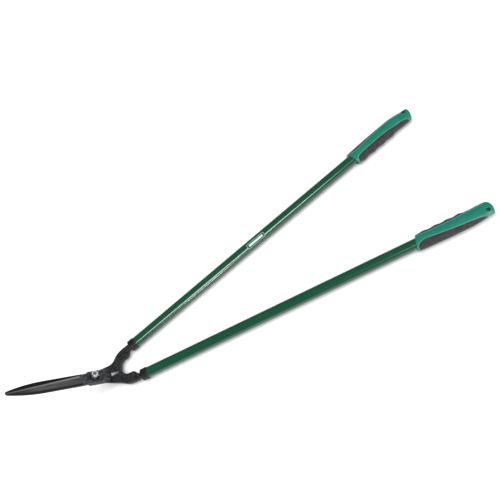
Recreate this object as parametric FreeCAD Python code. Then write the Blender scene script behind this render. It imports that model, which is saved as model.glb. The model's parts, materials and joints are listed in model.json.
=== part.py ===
"""Long-handled lawn shears: two blades on one pivot bolt, tubular handles, two-part grips.

Millimetres. The handles lie flat and the blades rise in front of them. +X runs from the blades
to the grips, +Y is the side of the right-hand grip, +Z is up. The origin is under the middle of
the whole tool, on the surface that it lies on.

Each half is first built about its own reference:
  blade frame   origin on the pivot axis, midway between the two blades; x points back towards
                the handles, y to the right, z along the pivot bolt towards the nut
  handle frame  origin at the middle of the ferrule's front face; x runs along the tube, y points
                away from the other handle, z is up
"""
import FreeCAD, Part
import math
import os

V = FreeCAD.Vector

# ---------------------------------------------------------------- driving dimensions (mm, degrees)
# How the tool is laid out
bend_angle = 42.0           # blade plane to handle plane
bend_radius = 31.0          # of the surface midway between the two tangs
half_spread = 8.5           # one tube to the tool's middle line
ferrule_reach = 96.0        # pivot to the ferrule's front face, along X
ferrule_offset = 41.7       # tube axis to the middle line, at that face

# Blades
blade_length = 198.0        # pivot to tip
blade_half = 16.7           # middle line to the blade's back
plate_thick = 5.3
tip_thick = 2.4
plate_gap = 0.6             # between the two blades
edge_land = 0.5             # thickness left at the cutting edge
bevel_width = 9.0
ground_step = 0.4           # ground face below the forged face
back_chamfer = 1.2
taper_start = 30.0          # pivot to where the ground blade begins
curve_start = 112.0         # pivot to where the back starts to curve in
tip_shoulder = 5.8          # middle line to the back, where the tip's rounding begins
tip_round = 4.0             # length of that rounding
tip_edge = -0.6             # middle line to the cutting edge at the tip: the edges cross before it
heel_half = 12.2            # middle line to the cutting edge at its heel
boss_half = 15.6
boss_front = 13.0           # pivot to the boss's front corner
shoulder_run = 2.5
turn_radius = 40.0          # pivot to the plate's rear corner, which passes the other tang
turn_clearance = 0.5
corner_start = 25.0         # pivot to where the plate's free rear corner starts to round off
corner_end = 5.0            # middle line to where that rounding ends

# Tangs
slit_half = 4.2             # half of the slit between the tangs, ahead of the stops
stop_gap = 0.2              # between the two stop faces with the blades shut
stop_front = 50.5           # pivot to the front of the stop faces, along X
stop_rear = 54.0
slit_taper = 3.0
neck_half = 8.2
tang_from = 14.0            # pivot to where the boss's side begins to widen into the tang
tang_round = 1.8
shank_dia = 15.4
shank_length = 45.0
shank_root = 5.1            # shank's overlap into the flat tang

# Pivot
bolt_dia = 10.0
bolt_head_dia = 21.0
bolt_head_height = 5.5
bolt_end = 1.1              # bolt standing out of the nut
bolt_chamfer = 0.9
bush_wall = 1.95
running_fit = 0.05          # bush on bolt, radial
running_gap = 0.1           # faces that slide over each other
disc_dia = 27.0
disc_play = 0.2             # disc on bolt, radial
washer_dia = 22.0
washer_play = 0.25          # washer on bolt, radial
washer_thick = 2.0
nut_flats = 17.0
nut_hex_height = 7.0
nut_collar_wall = 1.0       # metal round the locking ring
nut_collar_height = 2.5
nut_corner_chamfer = 0.9
nut_collar_round = 0.8
ring_wall = 1.6
ring_height = 1.8
ring_cover = 0.35           # nut metal rolled over the locking ring

# Handles
tube_dia = 25.0
tube_wall = 1.2
tube_end_gap = 3.32         # tube's end ahead of where the grip thins
ferrule_side = 1.5          # side wall, over the tube
ferrule_length = 16.0
ferrule_wall = 3.0          # front wall
ferrule_chamfer = 1.2
pin_dia = 5.0
pin_inset = 6.0             # tube end to pin

# Grips
grip_start = 667.0          # ferrule's front face to the grip's front, on the palm side
grip_length = 182.0
grip_front_slant = 14.0     # how much later the finger side begins
grip_wall = 1.4             # above and below the tube
grip_palm_side = 8.0        # over the tube, towards the palm
grip_finger_side = 7.5      # over the tube, towards the fingers
finger_wave = 0.9           # height of the finger bumps, either way
finger_pitch = 27.0
finger_count = 4
finger_start = 30.0         # grip's front to the first bump
palm_swell = 2.2            # how far the palm side bellies out
palm_taper = 4.5            # how far it draws in towards the end
palm_taper_from = 0.68      # share of the grip's length where that starts
finger_waist = 2.0          # dip behind the last finger bump
finger_flare = 2.5          # flare that stops the hand at the end
rim_thinning = 0.7
end_thinning = 5.4
end_thinning_from = 0.76    # share of the grip's length where that starts
grip_end_slant = 34.0       # how much sooner the finger side ends
grip_palm_corner = 14.0     # rounding of the palm side's end
grip_end_crown = 1.5        # furthest point of the rounded end, ahead of the full length
grip_end_peak = 5.0         # that point to the tube axis, towards the palm side
trim_reach = 1.4            # reach of the plan that trims the grip, in grip half widths
pad_thick = 2.6
core_wall = 0.8             # least hard plastic between the tube and a pad
hang_hole_dia = 8.0
hang_hole_inset = 13.0      # its axis to the grip's far end
hang_hole_offset = 5.0      # towards the palm side

mesh_tolerance = 0.05       # of the points that the whole tool is measured from

# Curves that follow the sizes above. Each point is (share of the run, share of the rise).
# Inside of a tang, from the rear of the stop face to the neck
tang_inner_shape = [(0.083, 0.24), (0.19, 0.46), (0.36, 0.60), (0.57, 0.63), (0.70, 0.70), (0.83, 0.95)]
# Outside of a tang, from the boss's side to the neck
tang_outer_shape = [(0.092, 0.085), (0.24, 0.22), (0.387, 0.43), (0.546, 0.73), (0.67, 0.85), (0.853, 0.925)]
# The hard strip's two edges: share of the grip's length, and of its half width on that side
palm_edge_shape = [(0.044, 0.85), (0.071, 0.50), (0.148, 0.33), (0.30, 0.46), (0.52, 0.62), (0.74, 0.72),
                   (0.86, 0.76), (0.93, 0.93)]
finger_edge_shape = [(0.093, 0.88), (0.115, 0.66), (0.18, 0.55), (0.32, 0.50), (0.52, 0.50), (0.69, 0.60),
                     (0.84, 0.73), (0.90, 1.02)]

# ---------------------------------------------------------------- worked out
bend = math.radians(bend_angle)
inner_face = plate_gap / 2
outer_face = inner_face + plate_thick
bend_start = turn_radius + turn_clearance
pivot_height = bend_start * math.sin(bend) + bend_radius * (1 - math.cos(bend))
bend_end_x = bend_start * math.cos(bend) + bend_radius * math.sin(bend)
bolt_square = bolt_dia
bush_dia = bolt_dia + 2 * (running_fit + bush_wall)
disc_bore = bolt_dia + 2 * disc_play
washer_bore = bolt_dia + 2 * washer_play
ring_dia = bolt_dia + 2 * ring_wall
nut_collar_dia = ring_dia + 2 * nut_collar_wall
ferrule_dia = tube_dia + 2 * ferrule_side
grip_half_thick = tube_dia / 2 + grip_wall
grip_palm = tube_dia / 2 + grip_palm_side
grip_finger = tube_dia / 2 + grip_finger_side
tube_end = grip_start + end_thinning_from * grip_length - tube_end_gap
hang_hole_x = grip_start + grip_length - hang_hole_inset
washer_low = outer_face + running_gap
nut_low = washer_low + washer_thick
nut_top = nut_low + nut_hex_height + nut_collar_height
bolt_top = nut_top + bolt_end

blade_frame = FreeCAD.Placement(V(0, 0, pivot_height), FreeCAD.Rotation(V(0, 1, 0), bend_angle))
handle_frame = FreeCAD.Placement(V(ferrule_reach, ferrule_offset, 0),
                                 FreeCAD.Rotation(V(0, 0, 1), half_spread))


# ---------------------------------------------------------------- small helpers
def wire_face(edges):
    """Flat face inside a closed run of edges."""
    return Part.Face(Part.Wire(Part.__sortEdges__(edges)))


def line(a, b):
    return Part.LineSegment(a, b).toShape()


def arc(a, b, c):
    return Part.Arc(a, b, c).toShape()


def smooth(points):
    """One smooth curve through the points."""
    curve = Part.BSplineCurve()
    curve.interpolate(points)
    return curve.toShape()


def polyline(points):
    return [line(a, b) for a, b in zip(points, points[1:])]


def cylinder(dia, low, high, axis=V(0, 0, 1), centre=V(0, 0, 0)):
    """Round bar about an axis through centre, from low to high along it."""
    return Part.makeCylinder(dia / 2, high - low, centre + axis * low, axis)


def along_tube(dia, low, high):
    return cylinder(dia, low, high, axis=V(1, 0, 0))


def placed(shape, frame):
    """Copy of the shape, carried from its own frame into the tool's."""
    moved = shape.copy()
    moved.Placement = frame.multiply(moved.Placement)
    return moved


def mirrored(shape):
    """The same piece for the other side of the tool."""
    return shape.mirror(V(0, 0, 0), V(0, 1, 0))


def from_blade(x, z):
    """Point of the tool's XZ plane, given back from the pivot and up along the bolt."""
    return V(x * math.cos(bend) + z * math.sin(bend), 0,
             pivot_height - x * math.sin(bend) + z * math.cos(bend))


def on_bend(offset, turned):
    """Point of the bend's section, offset towards the nut, after turning through an angle."""
    centre = from_blade(bend_start, bend_radius)
    left = bend - turned
    reach = bend_radius - offset
    return centre + V(-math.sin(left), 0, -math.cos(left)) * reach


# ---------------------------------------------------------------- blade and tang
def flat_outline():
    """Plan of the flat plate: blade, boss and the rear corner that turns about the pivot."""
    run = blade_length - tip_round - curve_start
    drop = blade_half - tip_shoulder
    radius = (run ** 2 + drop ** 2) / (2 * drop)
    half_drop = radius - math.sqrt(radius ** 2 - (run / 2) ** 2)
    ground_corner = V(-taper_start, -blade_half, 0)
    curve_from = V(-curve_start, -blade_half, 0)
    curve_mid = V(-curve_start - run / 2, -blade_half + half_drop, 0)
    curve_to = V(-curve_start - run, -tip_shoulder, 0)
    tip_mid = V(-blade_length + tip_round / 5, -(tip_shoulder + tip_edge) / 2, 0)
    tip_to = V(-blade_length, -tip_edge, 0)
    heel = V(-taper_start, heel_half, 0)
    shoulder = V(-boss_front - shoulder_run, heel_half, 0)
    boss_left = V(-boss_front, boss_half, 0)
    boss_right = V(-boss_front, -boss_half, 0)
    side_end = V(tang_from, boss_half, 0)
    side_in = V(tang_from, slit_half, 0)
    slit_end = V(math.sqrt(turn_radius ** 2 - slit_half ** 2), slit_half, 0)
    turn_end = V(math.sqrt(turn_radius ** 2 - corner_end ** 2), -corner_end, 0)
    corner_from = V(corner_start, -boss_half, 0)
    corner_mid = (corner_from + turn_end) / 2 + V(1, -1, 0) * (turn_end.x - corner_start) / 5
    return wire_face([
        line(boss_right, ground_corner),
        line(ground_corner, curve_from),
        arc(curve_from, curve_mid, curve_to),
        arc(curve_to, tip_mid, tip_to),
        line(tip_to, heel),
        line(heel, shoulder),
        line(shoulder, boss_left),
        line(boss_left, side_end),
        line(side_end, side_in),
        line(side_in, slit_end),
        arc(slit_end, V(turn_radius, 0, 0), turn_end),
        arc(turn_end, corner_mid, corner_from),
        line(corner_from, boss_right)])


def beyond(point, normal):
    """Everything on the far side of a plane, as a block large enough for any blade."""
    size = 4 * blade_length
    block = Part.makeBox(size, size, size, V(-size / 2, -size / 2, 0))
    block.Placement = FreeCAD.Placement(point, FreeCAD.Rotation(V(0, 0, 1), normal))
    return block


def ground_blade(plate):
    """Grinds the outer face: it tapers to the tip, with a chamfered back and a bevelled edge."""
    run = blade_length - taper_start
    start = V(-taper_start, 0, outer_face - ground_step)
    fall = plate_thick - ground_step - tip_thick
    face_normal = V(-fall, 0, run).normalize()
    ahead = beyond(V(-taper_start, 0, 0), V(-1, 0, 0))
    plate = plate.cut(beyond(start, face_normal).common(ahead))
    back = [e for e in plate.Edges if is_back_edge(e, start, face_normal)]
    plate = plate.makeChamfer(back_chamfer, back)
    edge = V(-run, -heel_half - tip_edge, 0).normalize()
    outward = V(edge.y, -edge.x, 0)
    lean = math.atan2(plate_thick - edge_land, bevel_width)
    bevel_normal = outward * math.sin(lean) + V(0, 0, math.cos(lean))
    land = V(-taper_start, heel_half, inner_face + edge_land)
    return plate.cut(beyond(land, bevel_normal).common(ahead))


def is_back_edge(edge, point, normal):
    """True for the edges along the blade's back that lie in the ground face."""
    middle = edge.valueAt((edge.FirstParameter + edge.LastParameter) / 2)
    ends = [middle, edge.Vertexes[0].Point, edge.Vertexes[-1].Point]
    in_face = all(abs((p - point).dot(normal)) < 1e-4 for p in ends)
    return in_face and middle.y < -tip_shoulder and edge.BoundBox.XLength > tip_round


def flat_plate():
    """The right-hand blade and boss, in the blade frame."""
    plate = flat_outline().extrude(V(0, 0, plate_thick))
    plate.translate(V(0, 0, inner_face))
    return ground_blade(plate)


def between(start, end, shares):
    """Points that lie at given shares of the way from start to end, across and up."""
    return [V(start.x + (end.x - start.x) * x, start.y + (end.y - start.y) * y, 0) for x, y in shares]


def tang_outline():
    """Plan of the right-hand tang: from the boss, past the stop face, to the ferrule."""
    start_x = from_blade(tang_from, -2 * outer_face).x
    side_x = from_blade(tang_from, outer_face).x
    back_x = ferrule_reach + neck_half
    lean = math.tan(math.radians(half_spread)) * neck_half
    stop = V(stop_rear, stop_gap / 2, 0)
    neck_in = V(ferrule_reach, ferrule_offset - neck_half, 0)
    neck_out = V(ferrule_reach, ferrule_offset + neck_half, 0)
    back_in = V(back_x, neck_in.y + lean, 0)
    back_out = V(back_x, neck_out.y + lean, 0)
    side = V(side_x, boss_half, 0)
    inner = smooth([stop] + between(stop, neck_in, tang_inner_shape) + [back_in])
    outer = smooth([side] + between(side, neck_out, tang_outer_shape) + [back_out])
    front = polyline([side, V(start_x, boss_half, 0), V(start_x, slit_half, 0),
                      V(stop_front - slit_taper, slit_half, 0), V(stop_front, stop.y, 0), stop])
    return wire_face([inner, line(back_in, back_out), outer] + front)


def tang_section(side):
    """Side view of a tang, a strip that bends from the blade plane into the handle plane.

    side is 1 for the tang on the nut's side of the blades, and -1 for the one under them.
    """
    back_x = ferrule_reach + 2 * neck_half
    near = side * inner_face
    far = side * outer_face
    far_arc = arc(on_bend(far, 0), on_bend(far, bend / 2), on_bend(far, bend))
    across = V(bend_end_x, 0, -far)
    return wire_face([
        line(from_blade(tang_from, near), from_blade(tang_from, far)),
        line(from_blade(tang_from, far), on_bend(far, 0)),
        far_arc,
        line(on_bend(far, bend), V(back_x, 0, far)),
        line(V(back_x, 0, far), V(back_x, 0, -far)),
        line(V(back_x, 0, -far), across),
        line(across, from_blade(bend_start, near)),
        line(from_blade(bend_start, near), from_blade(tang_from, near))])


def tang(side):
    """Tang with its round shank, on the right of the tool, for either level of blade."""
    depth = 2 * pivot_height
    plan = tang_outline().extrude(V(0, 0, 2 * depth))
    plan.translate(V(0, 0, -depth))
    strip = tang_section(side).extrude(V(0, 4 * ferrule_offset, 0))
    body = plan.common(strip)
    body = body.cut(placed(beyond(V(0, 0, 0), V(1, 0, 0)), handle_frame))
    shank = along_tube(shank_dia, -shank_root, shank_length)
    return body, placed(shank, handle_frame)


def round_tang(body):
    """Rounds the long edges of the forged tang behind the bend."""
    edges = [e for e in body.Edges if is_tang_edge(e)]
    return body.makeFillet(tang_round, edges)


def is_tang_edge(edge):
    box = edge.BoundBox
    flat = box.ZLength < 1e-6 and abs(abs(box.ZMin) - outer_face) < 1e-6
    return flat and box.XLength > neck_half and box.YLength > tang_round


def blade_half_body(side):
    """One whole forging: ground blade, boss and tang. side 1 is the right, upper one."""
    plate = flat_plate()
    if side < 0:
        plate = plate.mirror(V(0, 0, 0), V(0, 0, 1))
    body, shank = tang(side)
    solid = placed(plate, blade_frame).fuse([round_tang(body), shank]).removeSplitter()
    pin = placed(pin_bar(), handle_frame)
    solid = solid.cut(pin)
    if side > 0:
        return solid.cut(placed(cylinder(bush_dia, 0, 2 * outer_face), blade_frame))
    solid = mirrored(solid)
    square = Part.makeBox(bolt_square, bolt_square, 2 * outer_face,
                          V(-bolt_square / 2, -bolt_square / 2, -2 * outer_face))
    return solid.cut(placed(square, blade_frame))


# ---------------------------------------------------------------- pivot
def pivot_bolt():
    """Cup-headed bolt with a square neck that the lower blade keeps from turning."""
    base = -outer_face
    sphere_radius = (bolt_head_height ** 2 + (bolt_head_dia / 2) ** 2) / (2 * bolt_head_height)
    ball = Part.makeSphere(sphere_radius, V(0, 0, base - bolt_head_height + sphere_radius))
    head = ball.common(cylinder(bolt_head_dia, base - bolt_head_height, base))
    neck = Part.makeBox(bolt_square, bolt_square, plate_thick, V(-bolt_square / 2, -bolt_square / 2, base))
    shank = cylinder(bolt_dia, base, bolt_top)
    top = [e for e in shank.Edges if abs(e.BoundBox.ZMin - bolt_top) < 1e-6]
    return head.fuse([neck, shank.makeChamfer(bolt_chamfer, top)]).removeSplitter()


def pivot_bush():
    """Plain bearing pressed into the upper blade."""
    outside = cylinder(bush_dia, inner_face, outer_face)
    return outside.cut(cylinder(bolt_dia + 2 * running_fit, 0, 2 * outer_face))


def friction_disc():
    """Thin disc between the blades, resting on the lower one."""
    disc = cylinder(disc_dia, -inner_face, inner_face - running_gap)
    return disc.cut(cylinder(disc_bore, -inner_face, inner_face))


def pivot_washer():
    return cylinder(washer_dia, washer_low, nut_low).cut(cylinder(washer_bore, washer_low, nut_low))


def pivot_nut():
    """Hexagon nut with a round collar that holds the locking ring."""
    across = nut_flats / math.cos(math.pi / 6)
    corners = [V(math.cos(math.radians(60 * k)), math.sin(math.radians(60 * k)), 0) * (across / 2)
               + V(0, 0, nut_low) for k in range(7)]
    hexagon = Part.Face(Part.makePolygon(corners)).extrude(V(0, 0, nut_hex_height))
    foot = across / 2 - nut_corner_chamfer + nut_hex_height / math.tan(math.radians(30))
    cone = Part.makeCone(foot, 0, foot * math.tan(math.radians(30)), V(0, 0, nut_low))
    collar = cylinder(nut_collar_dia, nut_low + nut_hex_height / 2, nut_top)
    rim = [e for e in collar.Edges if abs(e.BoundBox.ZMin - nut_top) < 1e-6]
    nut = hexagon.common(cone).fuse(collar.makeFillet(nut_collar_round, rim)).removeSplitter()
    seat_top = nut_top - ring_cover
    seat = cylinder(ring_dia, seat_top - ring_height, seat_top)
    return nut.cut([cylinder(bolt_dia, nut_low, nut_top), seat])


def nut_locking_ring():
    seat_top = nut_top - ring_cover
    ring = cylinder(ring_dia, seat_top - ring_height, seat_top)
    return ring.cut(cylinder(bolt_dia, nut_low, nut_top))


# ---------------------------------------------------------------- handle
def pin_bar():
    """Cross pin through tube, sleeve and shank, hidden by the ferrule; ends flush with the tube."""
    half = math.sqrt((tube_dia / 2) ** 2 - (pin_dia / 2) ** 2)
    return cylinder(pin_dia, -half, half, centre=V(ferrule_wall + pin_inset, 0, 0))


def ferrule():
    """Cup over the tube's end, with a hole for the shank in its front wall."""
    cup = along_tube(ferrule_dia, 0, ferrule_length)
    rims = [e for e in cup.Edges if e.BoundBox.XLength < 1e-6]
    cup = cup.makeChamfer(ferrule_chamfer, rims)
    cup = cup.cut(along_tube(tube_dia, ferrule_wall, ferrule_length))
    return cup.cut(along_tube(shank_dia, 0, ferrule_length))


def tube():
    bore = tube_dia - 2 * tube_wall
    body = along_tube(tube_dia, ferrule_wall, tube_end).cut(along_tube(bore, ferrule_wall, tube_end))
    return body.cut(pin_bar())


def tang_sleeve():
    """Packing between the shank and the tube."""
    bore = tube_dia - 2 * tube_wall
    body = along_tube(bore, ferrule_wall, shank_length)
    return body.cut(along_tube(shank_dia, ferrule_wall, shank_length)).cut(pin_bar())


# ---------------------------------------------------------------- grip
def palm_half(run):
    """Tube axis to the palm side, a distance back from the grip's front."""
    swell = math.sin(math.pi * min(max(run / grip_length, 0), 1))
    taper = palm_taper * ease(run, palm_taper_from * grip_length, grip_length)
    return grip_palm - palm_swell * (1 - swell) - taper


def finger_half(run):
    """Tube axis to the finger side, with the finger bumps and the flared end."""
    wave_end = finger_start + finger_pitch * (finger_count - 0.5)
    wave = 0.0
    if finger_start - finger_pitch / 2 < run < wave_end:
        wave = finger_wave * math.cos(2 * math.pi * (run - finger_start) / finger_pitch)
    waist = finger_waist * ease(run, wave_end - finger_pitch / 2, wave_end + finger_pitch / 4)
    flare = finger_flare * ease(run, wave_end, grip_length)
    return grip_finger + wave - waist + flare


def half_thick(run):
    rim = rim_thinning * (1 - ease(run, 0, grip_front_slant))
    return grip_half_thick - rim - end_thinning * ease(run, end_thinning_from * grip_length, grip_length)


def ease(x, low, high):
    """0 before low, 1 after high, with a smooth run between."""
    part = min(max((x - low) / (high - low), 0), 1)
    return part * part * (3 - 2 * part)


def grip_section(run, inset):
    """Oval across the grip, a distance back from its front and inset from its surface."""
    palm = palm_half(run) - inset
    finger = finger_half(run) - inset
    thick = half_thick(run) - inset
    wide = (palm + finger) / 2
    centre = V(grip_start + run, (palm - finger) / 2, 0)
    oval = Part.Ellipse(centre + V(0, wide, 0), centre + V(0, 0, thick), centre)
    return Part.Wire(oval.toShape())


def grip_form(inset):
    """The grip's whole outside, inset all round, before its ends are trimmed."""
    count = round(4 * grip_length / finger_pitch)
    runs = [grip_length * k / count for k in range(count + 1)]
    return Part.makeLoft([grip_section(run, inset) for run in runs], True, False)


def grip_trim():
    """Plan that trims the grip: a slanted front and a rounded, slanted end."""
    below = -2 * grip_half_thick
    low = -trim_reach * grip_finger
    high = trim_reach * grip_palm
    end = grip_start + grip_length
    front_palm = V(grip_start, high, below)
    front_finger = V(grip_start + grip_front_slant, low, below)
    end_finger = V(end - grip_end_slant, low, below)
    end_mid = V(end - grip_end_crown, grip_end_peak, below)
    end_palm = V(end - grip_palm_corner, high, below)
    face = wire_face([line(front_palm, front_finger), line(front_finger, end_finger),
                      arc(end_finger, end_mid, end_palm), line(end_palm, front_palm)])
    return face.extrude(V(0, 0, 4 * grip_half_thick))


def pad_window(shares, half, side):
    """Region of the plan that a soft pad covers: from the strip's edge out past the side."""
    below = -2 * grip_half_thick
    points = [V(grip_start + grip_length * x, side * half * y, below) for x, y in shares]
    far = side * 2 * grip_palm
    first = points[0]
    last = points[-1]
    outside = polyline([last, V(last.x, far, below), V(first.x, far, below), first])
    return wire_face([smooth(points)] + outside).extrude(V(0, 0, 4 * grip_half_thick))


def grip_parts():
    """The hard core, the palm pad and the finger pad, in the handle frame."""
    outside = grip_form(0).common(grip_trim())
    lining = along_tube(tube_dia + 2 * core_wall, 0, tube_end + core_wall)
    band = outside.cut([grip_form(pad_thick), lining])
    palm = band.common(pad_window(palm_edge_shape, grip_palm, 1))
    finger = band.common(pad_window(finger_edge_shape, grip_finger, -1))
    core = outside.cut([palm, finger])
    core = core.cut(along_tube(tube_dia, 0, tube_end))
    hole = cylinder(hang_hole_dia, -2 * grip_half_thick, 2 * grip_half_thick,
                    centre=V(hang_hole_x, hang_hole_offset, 0))
    return core.cut(hole), palm, finger


# ---------------------------------------------------------------- assembly
def both_sides(name, shape):
    """A handle piece and its mirror image, each in its own node."""
    right = placed(shape, handle_frame)
    return {"right_" + name: right, "left_" + name: mirrored(right)}


def build():
    """Every node of the tool, about the foot of the pivot."""
    nodes = {"right_blade": blade_half_body(1), "left_blade": blade_half_body(-1)}
    for make in (pivot_bolt, pivot_bush, friction_disc, pivot_washer, pivot_nut, nut_locking_ring):
        nodes[make.__name__] = placed(make(), blade_frame)
    for make in (ferrule, tube, tang_sleeve):
        nodes.update(both_sides(make.__name__, make()))
    nodes.update(both_sides("tang_pin", pin_bar()))
    core, palm, finger = grip_parts()
    nodes.update(both_sides("grip_core", core))
    nodes.update(both_sides("palm_pad", palm))
    nodes.update(both_sides("finger_pad", finger))
    return nodes


def to_origin(nodes):
    """Move from the pivot's foot to the tool's own origin, under the middle of the whole."""
    points = [point for shape in nodes.values() for point in shape.tessellate(mesh_tolerance)[0]]
    x_values = [point.x for point in points]
    z_values = [point.z for point in points]
    return V(-(min(x_values) + max(x_values)) / 2, 0, -min(z_values))


nodes = build()
shift = to_origin(nodes)
os.makedirs("parts", exist_ok=True)
for name, shape in nodes.items():
    shape.translate(shift)
    shape.exportStep("parts/" + name + ".step")
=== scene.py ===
"""Looks of the long-handled lawn shears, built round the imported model. Metres, in the model's frame.

Sizes are written in millimetres and carried into metres by mm. The sections follow the tool as it
is put together: blades, pivot, ferrules, tubes, the joints hidden in them, and the grips.
"""
import json
import math

import bmesh
import bpy
import numpy as np
from mathutils import Matrix, Vector


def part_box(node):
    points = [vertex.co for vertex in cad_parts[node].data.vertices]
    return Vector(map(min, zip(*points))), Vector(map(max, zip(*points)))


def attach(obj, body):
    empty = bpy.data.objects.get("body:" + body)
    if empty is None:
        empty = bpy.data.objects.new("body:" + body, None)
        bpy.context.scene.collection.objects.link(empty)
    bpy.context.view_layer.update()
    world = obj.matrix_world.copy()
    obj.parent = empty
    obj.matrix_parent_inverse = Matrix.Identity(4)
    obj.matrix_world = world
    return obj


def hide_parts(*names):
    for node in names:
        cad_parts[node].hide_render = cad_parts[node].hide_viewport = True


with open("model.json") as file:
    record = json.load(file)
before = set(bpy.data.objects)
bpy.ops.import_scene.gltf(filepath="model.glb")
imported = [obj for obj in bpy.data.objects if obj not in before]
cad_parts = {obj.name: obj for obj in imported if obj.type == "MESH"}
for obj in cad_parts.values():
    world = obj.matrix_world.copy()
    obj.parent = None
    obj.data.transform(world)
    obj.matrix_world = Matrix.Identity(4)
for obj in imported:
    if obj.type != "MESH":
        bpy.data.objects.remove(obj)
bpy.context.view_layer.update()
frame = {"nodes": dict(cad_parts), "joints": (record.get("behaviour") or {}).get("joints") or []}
mm = 0.001


# ------------------------------------------------------------------------------------- viewpoint
# A long lens from above and from the left-hand handle's side, so that the blades point left and
# the grips fan out to the upper right. Its three axes are written out; the third points back.
eye = (0.18793, -1.01158, 1.50234)
eye_right = (0.83372, -0.40667, -0.37354)
eye_up = (0.54760, 0.69592, 0.46458)
eye_back = (0.07103, -0.59188, 0.80289)

lens = bpy.data.cameras.new("viewpoint")
lens.sensor_width = 36.0
lens.lens = 57.6
lens.clip_end = 200.0
camera = bpy.data.objects.new("viewpoint", lens)
camera.matrix_world = Matrix((
    (eye_right[0], eye_up[0], eye_back[0], eye[0]),
    (eye_right[1], eye_up[1], eye_back[1], eye[1]),
    (eye_right[2], eye_up[2], eye_back[2], eye[2]),
    (0, 0, 0, 1)))
bpy.context.scene.collection.objects.link(camera)
bpy.context.scene.camera = camera


# ------------------------------------------------------------------------------- floor and lights
# A plain pale floor in a white studio. Three distant lamps: a key on the viewer's side, a broad one
# overhead that shiny surfaces do not show, and a low narrow one that draws a line along each tube.
class Link:
    """A shader socket that takes Python's arithmetic. Each operator adds one Math node."""

    def __init__(self, finish, socket):
        self.finish = finish
        self.socket = socket

    def math(self, operation, first, second=0.0):
        return self.finish.node("ShaderNodeMath", {"operation": operation}, {0: first, 1: second})

    def __add__(self, other):
        return self.math("ADD", self, other)

    def __radd__(self, other):
        return self.math("ADD", other, self)

    def __sub__(self, other):
        return self.math("SUBTRACT", self, other)

    def __rsub__(self, other):
        return self.math("SUBTRACT", other, self)

    def __mul__(self, other):
        return self.math("MULTIPLY", self, other)

    def __rmul__(self, other):
        return self.math("MULTIPLY", other, self)

    def __truediv__(self, other):
        return self.math("DIVIDE", self, other)

    def __rtruediv__(self, other):
        return self.math("DIVIDE", other, self)

    def __abs__(self):
        return self.math("ABSOLUTE", self)

    def step(self, low, high):
        """0 below low, 1 above high, and a smooth run between."""
        return self.finish.node("ShaderNodeMapRange", {"interpolation_type": "SMOOTHSTEP"},
                                {"Value": self, "From Min": low, "From Max": high})


class Finish:
    """A material with one Principled shader. constants go on the shader's own sockets."""

    def __init__(self, name, constants):
        self.material = bpy.data.materials.new(name)
        self.material.use_nodes = True
        self.tree = self.material.node_tree
        self.shader = self.tree.nodes["Principled BSDF"]
        for socket, value in constants.items():
            self.shader.inputs[socket].default_value = value

    def node(self, kind, settings, inputs, output=0):
        """Any node: its settings first, then the values or links of its sockets."""
        made = self.tree.nodes.new(kind)
        for name, value in settings.items():
            setattr(made, name, value)
        for key, value in inputs.items():
            if isinstance(value, Link):
                self.tree.links.new(value.socket, made.inputs[key])
            else:
                made.inputs[key].default_value = value
        return Link(self, made.outputs[output])

    def feed(self, socket, link):
        self.tree.links.new(link.socket, self.shader.inputs[socket])

    def place(self, origin=(0, 0, 0), turn=(0, 0, 0)):
        """Object coordinates, seen from an origin and turned into a piece's own axes."""
        around = self.node("ShaderNodeTexCoord", {}, {}, "Object")
        return self.node("ShaderNodeMapping", {"vector_type": "TEXTURE"},
                         {"Vector": around, "Location": origin, "Rotation": turn})

    def stretched(self, vector, factors):
        return self.node("ShaderNodeVectorMath", {"operation": "MULTIPLY"}, {0: vector, 1: factors})

    def part(self, vector, axis):
        return self.node("ShaderNodeSeparateXYZ", {}, {0: vector}, axis)

    def noise(self, vector, size, detail=2.0, roughness=0.5):
        """Cloudy noise, 0 to 1, with lumps of about the given size in metres."""
        return self.node("ShaderNodeTexNoise", {},
                         {"Vector": vector, "Scale": 1 / size, "Detail": detail, "Roughness": roughness})

    def grains(self, vector, size):
        """Distance from scattered grains, for leather-like and sprayed textures."""
        return self.node("ShaderNodeTexVoronoi", {"feature": "SMOOTH_F1"},
                         {"Vector": vector, "Scale": 1 / size, "Smoothness": 0.6})

    def mark(self, name):
        """A number that the mesh holds at each vertex."""
        return self.node("ShaderNodeAttribute", {"attribute_name": name}, {}, "Fac")

    def mixed(self, share, low, high):
        """Colour that goes from low to high as share goes from 0 to 1."""
        return self.node("ShaderNodeMix", {"data_type": "RGBA"}, {0: share, 6: low, 7: high}, 2)

    def relief(self, height, depth):
        """Raises the surface by height times depth in metres."""
        bump = self.node("ShaderNodeBump", {}, {"Height": height, "Distance": depth, "Strength": 1.0})
        self.feed("Normal", bump)


floor_span = 40.0
floor_sheet = bpy.data.meshes.new("floor")
floor_corners = np.array([(-1, -1, 0), (1, -1, 0), (1, 1, 0), (-1, 1, 0)]) * floor_span
floor_sheet.from_pydata(floor_corners.tolist(), [], [(0, 1, 2, 3)])
floor = bpy.data.objects.new("floor", floor_sheet)
bpy.context.scene.collection.objects.link(floor)
floor_finish = Finish("pale_floor", {"Base Color": (0.86, 0.86, 0.86, 1), "Roughness": 0.9,
                                     "Specular IOR Level": 0.1})
floor_sheet.materials.append(floor_finish.material)

bpy.context.scene.view_settings.view_transform = "Standard"
world = bpy.data.worlds.new("studio")
bpy.context.scene.world = world
world.use_nodes = True
world.node_tree.nodes["Background"].inputs["Color"].default_value = (1.0, 1.0, 1.0, 1)
world.node_tree.nodes["Background"].inputs["Strength"].default_value = 0.16


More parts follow.
